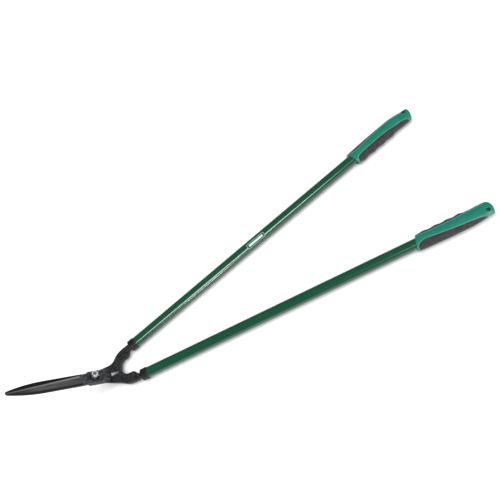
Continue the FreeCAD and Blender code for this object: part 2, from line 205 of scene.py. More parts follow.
def studio_light(name, toward, power, spread, mirrored):
    """Distant lamp that shines from the given direction; spread is how wide it looks, in degrees.

    mirrored says whether shiny surfaces show it, or it only lights them.
    """
    light = bpy.data.lights.new(name, "SUN")
    light.energy = power
    light.angle = math.radians(spread)
    holder = bpy.data.objects.new(name, light)
    holder.visible_glossy = mirrored
    holder.rotation_mode = "QUATERNION"
    holder.rotation_quaternion = Vector(toward).to_track_quat("Z", "Y")
    bpy.context.scene.collection.objects.link(holder)


studio_light("key", toward=(0.1, -0.76, 0.65), power=1.2, spread=20, mirrored=True)
studio_light("overhead", toward=(-0.1, -0.02, 1.0), power=3.8, spread=75, mirrored=False)
studio_light("low_strip", toward=(0.1, -1.0, 0.14), power=0.35, spread=5, mirrored=True)


# ---------------------------------------------------------------------------------------- blades
# Two forgings of tool steel. Each blade is ground hollow on its outer face, bevelled to its edge
# and coated; the boss and the tang keep the rough coat that they were sprayed with.
pivot_joint = frame["joints"][0]
pivot = np.array(pivot_joint["pos_m"])
pivot_axis = np.array(pivot_joint["axis"])
back_axis = np.array((pivot_axis[2], 0.0, -pivot_axis[0]))
blade_axes = np.stack([back_axis, (0.0, 1.0, 0.0), pivot_axis], axis=1)
blade_tilt = (0.0, math.asin(pivot_axis[0]), 0.0)
both_sides = (("right", 1, "right_half"), ("left", -1, "left_half"))

blade_reach = 198.0        # pivot to tip
ground_from = 30.0         # pivot to where the grinding begins
ground_face = 5.5          # parting plane to the ground face, there
ground_fall = 2.8          # how much lower that face is at the tip
edge_at_heel = 12.2        # middle line to the cutting edge
edge_at_tip = 0.6
edge_lip = 0.8             # parting plane to the top of the edge's land
bevel_slope = 4.8 / 9.0    # rise over run
back_line = 16.7           # middle line to the back, chamfer not counted
back_chamfer = 1.2
back_curves_from = 112.0
back_drop = 10.9           # how far the back curves in by the tip
hollow_depth = 0.75
hollow_lead_in = 10.0
hollow_narrowest = 2.0     # a face this wide stays flat
hollow_full_width = 16.0   # one this wide gets the whole depth
face_tolerance = 0.02      # how near the face's plane a point of the face lies
strips_from = -15.0        # middle line to the first and the last lengthwise cut
strips_to = 10.0
strip_width = 1.25
strip_length = 6.0


def smooth_step(value, low, high):
    """0 below low, 1 above high, and 3t^2 - 2t^3 of the share t between."""
    share = np.clip((value - low) / (high - low), 0, 1)
    return share * share * (3 - 2 * share)


def cut_across(work, side, origin, normal):
    """Runs a cutting plane through the whole mesh, given in the blade's own axes and millimetres."""
    mirror = np.array((1.0, side, side))
    place = pivot + blade_axes @ (np.array(origin) * mirror * mm)
    facing = blade_axes @ (np.array(normal) * mirror)
    everything = work.verts[:] + work.edges[:] + work.faces[:]
    bmesh.ops.bisect_plane(work, geom=everything, dist=1e-7, plane_co=place, plane_no=facing)


def hollow_ground(points, side):
    """Sinks the ground face by depth * 4v(1-v), v being the share of the way across it.

    It runs from the back's chamfer to the bevel, starts softly behind the boss, and the
    face itself is found as the points that lie in its plane.
    """
    own = ((points - pivot) @ blade_axes) * (1, side, side) / mm
    ahead = -own[:, 0] - ground_from
    run = np.clip(ahead / (blade_reach - ground_from), 0, 1)
    face = ground_face - ground_fall * run
    edge = edge_at_heel + (edge_at_tip - edge_at_heel) * run
    bevel_line = edge - (face - edge_lip) / bevel_slope
    curve = np.clip((-own[:, 0] - back_curves_from) / (blade_reach - back_curves_from), 0, 1)
    back = -back_line + back_drop * curve ** 2 + back_chamfer
    across = np.clip((own[:, 1] - back) / np.maximum(bevel_line - back, 1e-3), 0, 1)
    in_face = (ahead > 0.05) & (np.abs(own[:, 2] - face) < face_tolerance)
    narrow = smooth_step(bevel_line - back, hollow_narrowest, hollow_full_width)
    sink = hollow_depth * narrow * 4 * across * (1 - across) * smooth_step(ahead, 0, hollow_lead_in)
    return points - np.outer(in_face * sink * side * mm, pivot_axis)


def forged_half(node, side):
    """A copy of the CAD forging, cut into strips where it is ground, then hollowed."""
    mesh = frame["nodes"][node].data.copy()
    mesh.name = node + "_ground"
    work = bmesh.new()
    work.from_mesh(mesh)
    bmesh.ops.remove_doubles(work, verts=work.verts[:], dist=1e-6)
    flat_enough = math.radians(0.4)
    bmesh.ops.dissolve_limit(work, angle_limit=flat_enough, verts=work.verts[:], edges=work.edges[:])
    for line in np.arange(strips_from, strips_to, strip_width):
        cut_across(work, side, (0, line, 0), (0, 1, 0))
    for line in np.arange(ground_from + 2.0, blade_reach, strip_length):
        cut_across(work, side, (-line, 0, 0), (1, 0, 0))
    bmesh.ops.triangulate(work, faces=[f for f in work.faces if len(f.verts) > 4])
    work.to_mesh(mesh)
    work.free()
    points = np.empty(len(mesh.vertices) * 3)
    mesh.vertices.foreach_get("co", points)
    points = hollow_ground(points.reshape(-1, 3), side)
    mesh.vertices.foreach_set("co", points.ravel())
    mesh.update()
    mesh.materials.clear()
    mesh.shade_smooth()
    mesh.set_sharp_from_angle(angle=math.radians(24))
    piece = bpy.data.objects.new(node + "_ground", mesh)
    bpy.context.scene.collection.objects.link(piece)
    even = piece.modifiers.new("even_shading", "WEIGHTED_NORMAL")
    even.keep_sharp = True
    return piece


def blade_coat(name, side):
    """Dark coat: smooth with fine grinding lines on the blade, sprayed and grainy on the rest.

    The bevel has been ground again after coating, so it is lighter and shows steel at the edge.
    """
    coat = Finish(name, {"Metallic": 0.15, "IOR": 1.5, "Coat Weight": 0.0})
    own = coat.place(tuple(pivot), blade_tilt)
    back = coat.part(own, "X") * (1 / mm)
    across = coat.part(own, "Y") * (side / mm)
    rise = coat.part(own, "Z") * (side / mm)
    slope = (edge_at_heel - edge_at_tip) / (blade_reach - ground_from)
    from_edge = edge_at_heel + (back + ground_from) * slope - across
    ground = 1 - back.step(-ground_from - 1.0, -ground_from + 0.5)
    outer = rise.step(0.35, 0.5)
    bevelled = (1 - (rise - (edge_lip + 0.25) - from_edge * bevel_slope).step(-0.1, 0.1)) * ground
    on_bevel = 1 - abs(rise - edge_lip - from_edge * bevel_slope).step(0.12, 0.2)
    bevel = ground * outer * on_bevel * bevelled
    lines = coat.noise(coat.stretched(own, (0.03, 1.0, 1.0)), 0.35 * mm, 3.0, 0.6)
    cloud = coat.noise(own, 14 * mm, 4.0, 0.6)
    spray = coat.noise(own, 3.6 * mm, 4.0, 0.8)
    fine = coat.noise(own, 0.45 * mm, 2.0, 0.5)
    # Painted light and shade: the one sprayed coat is painted lighter on the boss and darker on the tang,
    # changing from 24 to 42 mm behind the pivot.
    tang = back.step(24.0, 42.0)
    specks = spray.step(0.47, 0.57)
    lit_boss_coat = coat.mixed(specks, (0.014, 0.016, 0.018, 1), (0.072, 0.080, 0.088, 1))
    shaded_tang_coat = coat.mixed(specks, (0.002, 0.002, 0.0022, 1), (0.036, 0.038, 0.041, 1))
    sprayed = coat.mixed(tang, lit_boss_coat, shaded_tang_coat)
    bent = (back * -1 - back_curves_from) / (blade_reach - back_curves_from)
    bend = (bent + abs(bent)) * 0.5
    from_back = across + back_line - bend * bend * back_drop
    # Painted shade: a near-black band along the back of the blade, fading out between 2 and 8 mm from it.
    spine_shade = 1 - from_back.step(2.0, 8.0)
    streaks = coat.noise(coat.stretched(own, (0.05, 1.0, 1.0)), 4 * mm, 2.0, 0.5)
    sheen = lines * 0.5 + streaks * 0.5 - (1 - back.step(-blade_reach, -110.0)) * 0.12
    smooth = coat.mixed(sheen.step(0.35, 0.62), (0.022, 0.022, 0.0225, 1), (0.085, 0.086, 0.088, 1))
    # The painted shade along the back goes into the blade's colour here.
    smooth = coat.mixed(spine_shade * 0.92, smooth, (0.0035, 0.0035, 0.004, 1))
    steel = coat.mixed(lines.step(0.3, 0.7), (0.10, 0.10, 0.102, 1), (0.16, 0.16, 0.164, 1))
    keen = (1 - from_edge.step(0.7, 1.6)) * bevel
    shown = coat.mixed(ground, sprayed, smooth)
    near_tip = 1 - back.step(-blade_reach + 4.0, -130.0)
    shown = coat.mixed(bevel * (0.75 - near_tip * 0.55), shown, steel)
    shown = coat.mixed(keen * (0.6 - near_tip * 0.6), shown, (0.25, 0.25, 0.26, 1))
    # Painted shadow: on the ground part, the inner face and anything within about 0.35 to 0.5 mm of the
    # parting plane is painted near black.
    shown = coat.mixed((1 - outer) * ground, shown, (0.004, 0.004, 0.0045, 1))
    coat.feed("Base Color", shown)
    uneven = cloud * 0.12 + spray * (1 - ground) * 0.1
    coat.feed("Roughness", 0.5 - ground * 0.14 + uneven - bevel * 0.06)
    coat.feed("Metallic", 0.1 + bevel * 0.2 + keen * 0.3)
    grain = (spray * 0.7 + fine * 0.3) * (1 - ground)
    coat.relief(grain + lines * ground * 0.1, 0.5 * mm)
    return coat.material


for name, side, body in both_sides:
    blade = forged_half(name + "_blade", side)
    blade.data.materials.append(blade_coat(name + "_blade_coat", side))
    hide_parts(name + "_blade")
    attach(blade, body)


# ----------------------------------------------------------------------------------------- pivot
# A plated M10 cup square bolt comes up through both blades and carries a blackened washer and a
# bright locking nut. Its square sits in the lower blade; the upper one turns on a bronze bush.
def skin(name, points, finish, wrap_rows=False, marks=None, sharp=32):
    """Closed mesh over a grid of points, in metres: rows along the piece, columns round it.

    The columns always close on themselves. The rows do too for a ring; otherwise a pole at the
    mean of the first row and one at the mean of the last close the ends. Faces whose enclosed
    volume comes out negative are turned, so that they point outwards. marks are numbers kept at
    each vertex by name, and edges that bend by more than sharp degrees stay sharp.
    """
    rows, cols = points.shape[:2]
    row = np.arange(rows if wrap_rows else rows - 1)[:, None]
    col = np.arange(cols)[None, :]
    next_row = (row + 1) % rows * cols
    next_col = (col + 1) % cols
    quads = np.stack([row * cols + col, next_row + col, next_row + next_col, row * cols + next_col], -1)
    corners = points.reshape(-1, 3)
    faces = quads.reshape(-1, 4)
    fans = np.empty((0, 3), int)
    if not wrap_rows:
        ring = np.arange(cols)
        turned = (ring + 1) % cols
        last = (rows - 1) * cols
        count = len(corners)
        fans = np.concatenate([np.stack([np.full(cols, count), ring, turned], 1),
                               np.stack([np.full(cols, count + 1), last + turned, last + ring], 1)])
        corners = np.vstack([corners, points[0].mean(0), points[-1].mean(0)])
    halves = np.concatenate([faces[:, :3], faces[:, (0, 2, 3)], fans])
    a, b, c = (corners[halves[:, k]] for k in range(3))
    if np.einsum("ij,ij->i", a, np.cross(b, c)).sum() < 0:
        faces, fans = faces[:, ::-1], fans[:, ::-1]
    mesh = bpy.data.meshes.new(name)
    mesh.from_pydata(corners.tolist(), [], faces.tolist() + fans.tolist())
    for key, values in (marks or {}).items():
        stored = mesh.attributes.new(key, "FLOAT", "POINT")
        ends = [] if len(corners) == values.size else [values[0].mean(), values[-1].mean()]
        stored.data.foreach_set("value", np.append(values.ravel(), ends).astype(np.float32))
    mesh.shade_smooth()
    mesh.set_sharp_from_angle(angle=math.radians(sharp))
    mesh.materials.append(finish)
    piece = bpy.data.objects.new(name, mesh)
    bpy.context.scene.collection.objects.link(piece)
    return piece


def softened(corners, radius, steps=5, ring=True):
    """Profile with each corner rounded by a quadratic curve that starts radius away from it."""
    corner = np.array(corners, float)
    before, after = np.roll(corner, 1, 0) - corner, np.roll(corner, -1, 0) - corner
    reach = np.broadcast_to(np.asarray(radius, float), len(corner))[:, None]
    length_before = np.linalg.norm(before, axis=1, keepdims=True)
    length_after = np.linalg.norm(after, axis=1, keepdims=True)
    start = corner + before * np.minimum(reach / length_before, 0.48)
    end = corner + after * np.minimum(reach / length_after, 0.48)
    share = np.linspace(0, 1, steps)[None, :, None]
    bend = (1 - share) ** 2 * start[:, None] + 2 * share * (1 - share) * corner[:, None]
    bend = bend + share ** 2 * end[:, None]
    if ring:
        return bend.reshape(-1, 2)
    return np.vstack([corner[:1], bend[1:-1].reshape(-1, 2), corner[-1:]])


def turned_points(profile, columns=96, shape=None):
    """Profile of (along, radius) carried round an axis: (along, radius cos a, radius sin a).

    shape, if given, changes the radius for each profile point and angle.
    """
    angle = np.linspace(0, 2 * math.pi, columns, endpoint=False)[None, :]
    along = np.repeat(profile[:, :1], columns, 1)
    radius = np.repeat(profile[:, 1:], columns, 1)
    if shape is not None:
        radius = shape(along, radius, angle)
    return np.stack([along, radius * np.cos(angle), radius * np.sin(angle)], -1)


def on_pivot(points):
    """From (along the bolt, back, across) in millimetres to the model's frame."""
    return pivot + (points[..., [1, 2, 0]] * mm) @ blade_axes.T


blade_outer = 5.6          # parting plane to each boss's face
washer_bottom = blade_outer + 0.1
nut_bottom = washer_bottom + 2.0
nut_top = nut_bottom + 9.5
bolt_top = nut_top + 1.1
hex_height = 7.0
hex_flats = 17.0
thread_pitch = 1.5
thread_depth = 0.75
bolt_radius = 4.98
square_half = 4.97
neck_corner = 7.0          # outside the square's corners, so that the square shapes the neck
head_radius = 10.4
head_height = 5.5
head_rim = 1.2
washer_hole = 5.25
washer_radius = 11.0
nut_bore = 5.02
nut_lead_in = 5.4
collar_radius = 7.6
collar_lip = 6.5
ring_seat = 6.66           # radius that the locking ring sits in
ring_height = 2.1


def bolt_radius_at(along, radius, angle):
    """Plain round, but square in the neck and waved by the thread's helix above it.

    The square is half / max(|cos|, |sin|), its corners held in by a circle. The thread cuts in
    by a triangle wave of (along / pitch - angle / full turn).
    """
    square = square_half / np.maximum(np.abs(np.cos(angle)), np.abs(np.sin(angle)))
    neck = (along > -blade_outer + 0.3) & (along < -0.31)
    radius = np.where(neck, np.minimum(square, square_half * 1.36), radius)
    wave = np.abs(((along / thread_pitch - angle / (2 * math.pi)) % 1) * 2 - 1)
    faded = smooth_step(along, washer_bottom - 1.0, washer_bottom + 1.0)
    threaded = bolt_radius - thread_depth * np.clip(wave * 1.25 - 0.12, 0, 1)
    cut = np.minimum(radius, bolt_radius - (bolt_radius - threaded) * faded)
    return np.where(along > 0, cut, radius)


bright_plate = Finish("bright_plate", {"Base Color": (0.74, 0.75, 0.77, 1), "Metallic": 1.0})
plate_place = bright_plate.place()
plate_cloud = bright_plate.noise(plate_place, 2.5 * mm, 4.0, 0.6)
bright_plate.feed("Roughness", 0.13 + plate_cloud * 0.14)
bright_plate.relief(bright_plate.noise(plate_place, 0.5 * mm, 2.0), 0.012 * mm)

dome_angle = np.linspace(0, 1, 14)[1:]
dome = np.stack([-blade_outer - head_rim - (head_height - head_rim) * np.cos(dome_angle * math.pi / 2),
                 head_radius * np.sin(dome_angle * math.pi / 2)], 1)
rim = np.array([(-blade_outer - 0.2, head_radius + 0.05), (-blade_outer, head_radius - 0.2),
                (-blade_outer, neck_corner + 0.2), (-blade_outer + 0.35, neck_corner),
                (-0.35, neck_corner), (-0.25, bolt_radius)])
shank_along = np.arange(0.1, bolt_top - 0.75, 0.09)
shank = np.stack([shank_along, np.full(len(shank_along), bolt_radius)], 1)
bolt_end = np.array([(bolt_top - 0.7, bolt_radius - 0.1), (bolt_top - 0.15, bolt_radius - 0.75),
                     (bolt_top, bolt_radius - 1.1), (bolt_top, 2.0), (bolt_top - 0.15, 1.6)])
bolt_profile = np.vstack([dome, rim, shank, bolt_end])
bolt = skin("threaded_bolt", on_pivot(turned_points(bolt_profile, 96, bolt_radius_at)),
            bright_plate.material)
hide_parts("pivot_bolt")
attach(bolt, "left_half")


def nut_radius_at(along, radius, angle):
    """Hexagon of half / cos(angle from the middle of a flat), held in by a circle and two cones."""
    flat = (angle + math.pi / 6) % (math.pi / 3) - math.pi / 6
    hexagon = hex_flats / 2 / np.cos(flat)
    corner = hex_flats / 2 / math.cos(math.pi / 6)
    low_cone = corner - 1.0 + (along - nut_bottom) * math.sqrt(3)
    high_cone = corner - 1.0 + (nut_bottom + hex_height - along) * math.sqrt(3)
    held = np.minimum(np.minimum(hexagon, corner - 0.25), np.minimum(low_cone, high_cone))
    return np.where(radius > 8.0, np.minimum(radius, held), radius)


hex_rise = nut_bottom + np.linspace(0, hex_height, 26)
hex_top = nut_bottom + hex_height
nut_profile = np.vstack([
    [(nut_bottom, nut_lead_in), (nut_bottom, collar_radius)],
    np.stack([hex_rise, np.full(26, 10.5)], 1),
    softened([(hex_top, collar_radius + 0.4), (hex_top + 0.02, collar_radius), (nut_top, collar_radius),
              (nut_top, collar_lip), (nut_top - 0.35, collar_lip), (nut_top - 0.36, ring_seat)],
             [0.3, 0.5, 0.8, 0.2, 0.05, 0.05], 6, False),
    [(nut_top - ring_height, ring_seat), (nut_top - ring_height - 0.05, nut_bore),
     (nut_bottom + 0.3, nut_bore)]])
nut = skin("locking_nut", on_pivot(turned_points(nut_profile, 180, nut_radius_at)),
           bright_plate.material, wrap_rows=True, sharp=26)
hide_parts("pivot_nut")
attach(nut, "left_half")

black_steel = Finish("black_washer", {"Metallic": 0.6})
black_place = black_steel.place()
black_cloud = black_steel.noise(black_place, 3 * mm, 4.0, 0.6)
black_steel.feed("Base Color", black_steel.mixed(black_cloud.step(0.35, 0.7), (0.006, 0.006, 0.007, 1),
                                                 (0.03, 0.03, 0.032, 1)))
black_steel.feed("Roughness", 0.3 + black_cloud * 0.25)
washer_profile = softened([(washer_bottom, washer_hole), (washer_bottom, washer_radius),
                           (nut_bottom, washer_radius), (nut_bottom, washer_hole)], [0.2, 0.25, 0.55, 0.2])
washer = skin("spring_washer", on_pivot(turned_points(washer_profile, 120)), black_steel.material,
              wrap_rows=True)
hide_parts("pivot_washer")
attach(washer, "left_half")


def repaint(node, finish):
    """Gives a CAD node that stays as it is a finish of its own."""
    frame["nodes"][node].data.materials.clear()
    frame["nodes"][node].data.materials.append(finish)


# The small parts inside the pivot keep their CAD shape: a sintered bronze bush, a thin plastic
# disc that the blades slide on, and the nylon ring that grips the thread.
bronze = Finish("sintered_bronze", {"Metallic": 1.0})
bronze_pores = bronze.noise(bronze.place(), 0.3 * mm, 2.0, 0.6)
bronze_shade = bronze.mixed(bronze_pores.step(0.35, 0.6), (0.16, 0.08, 0.03, 1), (0.6, 0.4, 0.2, 1))
bronze.feed("Base Color", bronze_shade)
bronze.feed("Roughness", 0.5 - bronze_pores * 0.2)
repaint("pivot_bush", bronze.material)

slide = Finish("disc_plastic", {"Roughness": 0.4})
slide_cloud = slide.noise(slide.place(), 2 * mm, 3.0)
slide.feed("Base Color", slide.mixed(slide_cloud, (0.6, 0.59, 0.55, 1), (0.78, 0.77, 0.72, 1)))
repaint("friction_disc", slide.material)

nylon = Finish("ring_nylon", {"Roughness": 0.32, "Subsurface Weight": 0.05})
nylon_cloud = nylon.noise(nylon.place(), 1.5 * mm, 3.0)
nylon.feed("Base Color", nylon.mixed(nylon_cloud, (0.62, 0.62, 0.56, 1), (0.82, 0.82, 0.78, 1)))
repaint("nut_locking_ring", nylon.material)


# -------------------------------------------------------------------------------------- ferrules
# A black moulded cap over the front end of each tube. The tang's round shank enters through its
# front wall; a moulded bead runs round it near the tube side.
handle_spread = math.radians(8.5)
tube_low, tube_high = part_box("right_tube")
tube_radius = (tube_high.z - tube_low.z) / 2 / mm
ferrule_wall = 3.0
spread_cos = math.cos(handle_spread)
spread_sin = math.sin(handle_spread)
handle_front = np.array((
    tube_low.x + tube_radius * mm * spread_sin - ferrule_wall * mm * spread_cos,
    tube_low.y + tube_radius * mm * spread_cos - ferrule_wall * mm * spread_sin,
    (tube_high.z + tube_low.z) / 2))


def on_handle(points, side):
    """From (along the tube, outwards, up) in millimetres to the model's frame, right side or left."""
    along, out, up = (points[..., k] * mm for k in range(3))
    x = handle_front[0] + along * spread_cos - out * spread_sin
    y = handle_front[1] + along * spread_sin + out * spread_cos
    return np.stack([x, y * side, handle_front[2] + up], -1)


ferrule_length = 16.0
bead_radius = 14.0
sleeve_radius = 13.75
shank_hole = 7.75
ferrule_bore = 12.53
cap_plastic = Finish("ferrule_plastic", {"IOR": 1.48})
cap_place = cap_plastic.place()
cap_grain = cap_plastic.noise(cap_place, 0.7 * mm, 3.0, 0.6)
cap_cloud = cap_plastic.noise(cap_place, 9 * mm, 3.0)
cap_shade = cap_plastic.mixed(cap_cloud, (0.002, 0.002, 0.0022, 1), (0.010, 0.010, 0.011, 1))
cap_plastic.feed("Base Color", cap_shade)
cap_plastic.feed("Roughness", 0.36 + cap_grain * 0.25)
cap_plastic.relief(cap_grain, 0.08 * mm)

cap_corners = [(0, shank_hole), (0, 12.9), (1.1, sleeve_radius), (10.6, sleeve_radius), (11.2, bead_radius),
               (13.6, bead_radius), (14.2, 13.6), (ferrule_length, 13.4), (ferrule_length, ferrule_bore),
               (ferrule_wall + 0.1, ferrule_bore), (ferrule_wall + 0.1, shank_hole)]
cap_radii = [0.2, 0.8, 0.9, 0.4, 0.5, 0.5, 0.4, 0.5, 0.2, 0.2, 0.2]
cap_profile = softened(cap_corners, cap_radii, 6)
for name, side, body in both_sides:
    cap = skin(name + "_cap", on_handle(turned_points(cap_profile, 128), side), cap_plastic.material,
               wrap_rows=True)
    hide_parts(name + "_ferrule")
    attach(cap, body)


# ----------------------------------------------------------------------------------------- tubes
# Seam-welded steel tube, 25 mm across, sprayed with a glossy dark green enamel that is slightly
# wavy, as thick enamel is. The right-hand one carries a small printed foil label.
tube_wall = 1.2
tube_length = 799.0
tube_end = ferrule_wall + tube_length
tube_break = 0.3           # sharp edge taken off each end

enamel = Finish("green_enamel", {"IOR": 1.5, "Coat Weight": 0.5, "Coat Roughness": 0.05,
                                 "Coat IOR": 1.5})
enamel_place = enamel.place()
enamel_cloud = enamel.noise(enamel_place, 30 * mm, 3.0)
enamel_peel = enamel.noise(enamel_place, 2.2 * mm, 2.0, 0.4)
enamel_specks = enamel.noise(enamel_place, 0.6 * mm, 2.0)
enamel_share = enamel_cloud * 0.6 + enamel_specks * 0.4
enamel.feed("Base Color", enamel.mixed(enamel_share, (0.0008, 0.038, 0.016, 1), (0.0016, 0.060, 0.028, 1)))
enamel.feed("Roughness", 0.16 + enamel_peel * 0.08)
enamel.relief(enamel_peel, 0.003 * mm)

tube_run = np.linspace(ferrule_wall + 0.5, tube_end - 0.5, 160)
tube_stations = np.concatenate([[ferrule_wall + tube_break], tube_run, [tube_end - tube_break]])
tube_outside = np.stack([tube_stations, np.full(len(tube_stations), tube_radius)], 1)
tube_outside[0] -= (0, 0.05)
tube_outside[-1] -= (0, 0.05)
tube_inside = np.stack([tube_stations[::-1], np.full(len(tube_stations), tube_radius - tube_wall)], 1)
tube_profile = np.vstack([[(ferrule_wall, tube_radius - tube_break)], tube_outside,
                          [(tube_end, tube_radius - tube_break)], tube_inside])
for name, side, body in both_sides:
    pole = skin(name + "_pole", on_handle(turned_points(tube_profile, 96), side), enamel.material,
                wrap_rows=True)
    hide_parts(name + "_tube")
    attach(pole, body)

# The label: a film with a silver frame and one plain silver bar on dark green, no lettering.
label_middle = 380.0       # ferrule's front to the middle of the label
label_length = 51.0
label_width = 13.0
label_thick = 0.12
label_corner = 2.0
label_turn = math.radians(122)     # round the tube, from its outer side over the top


def label_points():
    """Patch of the tube, raised by the film: (along, r cos a, r sin a), its rim folded under.

    Beside the points come the distances from the label's ends and from its sides.
    """
    along = np.linspace(-0.5, 0.5, 97)[:, None] * label_length
    across = np.linspace(-0.5, 0.5, 33)[None, :] * label_width
    corner = np.maximum(np.abs(along) - label_length / 2 + label_corner, 0)
    cut_off = label_corner - np.sqrt(np.maximum(label_corner ** 2 - corner ** 2, 0))
    across = across * (1 - cut_off * 2 / label_width)
    along = along + 0 * across
    angle = label_turn + across / tube_radius
    layers = [np.stack([label_middle + along, radius * np.cos(angle), radius * np.sin(angle)], -1)
              for radius in (tube_radius + label_thick, tube_radius + 0.01)]
    from_end = label_length / 2 - np.abs(along)
    from_side = label_width / 2 - np.abs(across)
    return (np.concatenate([layers[0], layers[1][:, ::-1]], 1),
            np.concatenate([from_end, from_end[:, ::-1]], 1),
            np.concatenate([from_side, from_side[:, ::-1]], 1))


film = Finish("label_film", {"Specular IOR Level": 0.3})
film_end = film.mark("from_end")
film_side = film.mark("from_side")
nearest = film.node("ShaderNodeMath", {"operation": "MINIMUM"}, {0: film_end, 1: film_side})
film_frame = nearest.step(0.5, 0.7) * (1 - nearest.step(1.3, 1.5))
film_bar = film_end.step(5.0, 5.2) * film_side.step(3.9, 4.1)
film_silver = film_frame + film_bar
film_cloud = film.noise(film.place(), 2 * mm, 3.0)
film.feed("Base Color", film.mixed(film_silver, (0.002, 0.028, 0.016, 1), (0.46, 0.62, 0.56, 1)))
film.feed("Metallic", film_silver * 0.2)
film.feed("Roughness", 0.5 + film_cloud * 0.15)
label_grid, label_from_end, label_from_side = label_points()
label = skin("tube_label", on_handle(label_grid, 1), film.material,
             marks={"from_end": label_from_end, "from_side": label_from_side})
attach(label, "right_half")


# ------------------------------------------------------------------------- joints inside the tube
# Hidden by the ferrule: a nylon sleeve packs the tang's shank into the tube and a plain steel
# pin crosses all three.
packing = Finish("sleeve_nylon", {"Roughness": 0.5})
packing_cloud = packing.noise(packing.place(), 4 * mm, 3.0)
packing.feed("Base Color", packing.mixed(packing_cloud, (0.5, 0.5, 0.46, 1), (0.66, 0.66, 0.62, 1)))
drawn_pin = Finish("pin_steel", {"Metallic": 1.0, "Roughness": 0.3})
pin_lines = drawn_pin.noise(drawn_pin.stretched(drawn_pin.place(), (1, 1, 0.1)), 0.3 * mm, 2.0)
drawn_pin.feed("Base Color", drawn_pin.mixed(pin_lines, (0.36, 0.36, 0.37, 1), (0.6, 0.6, 0.61, 1)))
for name in ("right", "left"):
    repaint(name + "_tang_sleeve", packing.material)
    repaint(name + "_tang_pin", drawn_pin.material)


# ----------------------------------------------------------------------------------------- grips
# A hard green moulding is pushed over the tube's end: a collar, a raised strip along the top and
# the bottom, and a flared end with a hang hole. Soft dark pads are moulded into its two sides,
# plain on the palm's side and waved for four fingers on the other.
grip_start = 667.0
grip_length = 182.0
front_slant = 14.0
end_slant = 34.0
end_crown = 1.5
end_peak = 5.0
palm_corner = 14.0
palm_reach = 20.5
finger_reach = 20.0
trim_reach = 1.4
palm_swell = 2.2
palm_taper = 4.5
palm_taper_from = 0.68
finger_start = 30.0
finger_pitch = 27.0
finger_count = 4
finger_wave = 0.9
finger_waist = 2.0
finger_flare = 2.5
thick_half = 13.9
rim_thinning = 0.7
end_thinning = 5.4
end_thinning_from = 0.76
hole_from_end = 13.0
hole_offset = 5.0
hole_radius = 4.0


def grip_sides(run):
    """Half widths towards the palm and the fingers and half thickness, run being mm from the front."""
    swell = np.sin(math.pi * np.clip(run / grip_length, 0, 1))
    palm = palm_reach - palm_swell * (1 - swell)
    palm = palm - palm_taper * smooth_step(run, palm_taper_from * grip_length, grip_length)
    waves_end = finger_start + finger_pitch * (finger_count - 0.5)
    waved = smooth_step(run, finger_start - finger_pitch * 0.6, finger_start - finger_pitch * 0.3)
    waved = waved * (1 - smooth_step(run, waves_end - 3, waves_end + 3))
    wave = np.cos(2 * math.pi * (run - finger_start) / finger_pitch)
    waist = smooth_step(run, waves_end - finger_pitch / 2, waves_end + finger_pitch / 4)
    finger = finger_reach + finger_wave * waved * wave - finger_waist * waist
    finger = finger + finger_flare * smooth_step(run, waves_end, grip_length)
    thick = thick_half - rim_thinning * (1 - smooth_step(run, 0, front_slant))
    thick = thick - end_thinning * smooth_step(run, end_thinning_from * grip_length, grip_length)
    return palm, finger, thick


def circle_through(first, second, third):
    """Centre and radius of the circle through three points of the plane."""
    a, b, c = (complex(*p) for p in (first, second, third))
    w = (c - a) / (b - a)
    centre = a + (b - a) * (w - abs(w) ** 2) / (2j * w.imag)
    return centre.real, centre.imag, abs(centre - a)


end_centre_x, end_centre_y, end_radius = circle_through(
    (grip_length - end_slant, -trim_reach * finger_reach), (grip_length - end_crown, end_peak),
    (grip_length - palm_corner, trim_reach * palm_reach))


def grip_surface(share, angle, inset=0.0, scale=1.0, pull=0.0):
    """Point of the grip's outside: share of the way from its front to its end, and angle round it.

    The section is an oval, (middle + half width cos a, half thickness sin a). Its place along the
    grip is share of the way from the slanted front to the rounded end, found in four rounds
    because both depend on the place across. inset, scale and pull shrink and shift a section.
    """
    run = share * grip_length + 0 * angle
    trim_width = trim_reach * (palm_reach + finger_reach)
    for _ in range(4):
        palm, finger, thick = grip_sides(run)
        across = (palm - finger) / 2 + ((palm + finger) / 2 - inset) * scale * np.cos(angle)
        front = front_slant * (trim_reach * palm_reach - across) / trim_width
        end = end_centre_x + np.sqrt(np.maximum(end_radius ** 2 - (across - end_centre_y) ** 2, 0))
        run = front + share * (end - front) + pull
    up = (thick - inset) * scale * np.sin(angle)
    return np.stack([run, across + 0 * up, up], -1)


# Rims of the pads: share of the grip's length, and share of its half width on that side.
palm_edge = np.array([(0.044, 1.0), (0.048, 0.72), (0.071, 0.50), (0.148, 0.33), (0.30, 0.46),
                      (0.52, 0.62), (0.74, 0.72), (0.86, 0.76), (0.925, 0.86), (0.94, 1.0)])
finger_edge = np.array([(0.093, 1.0), (0.097, 0.80), (0.115, 0.66), (0.18, 0.55), (0.32, 0.50),
                        (0.52, 0.50), (0.69, 0.60), (0.84, 0.73), (0.895, 0.90), (0.905, 1.05)])


def edge_curve(shape, count=600):
    """Smooth curve through the points, by Catmull-Rom pieces between neighbours."""
    point = np.vstack([2 * shape[0] - shape[1], shape, 2 * shape[-1] - shape[-2]])
    place = np.linspace(0, len(shape) - 1 - 1e-9, count)
    piece = place.astype(int)
    t = (place - piece)[:, None]
    p0, p1, p2, p3 = (point[piece + k] for k in range(4))
    return 0.5 * (2 * p1 + (p2 - p0) * t + (2 * p0 - 5 * p1 + 4 * p2 - p3) * t ** 2
                  + (3 * p1 - p0 - 3 * p2 + p3) * t ** 3)


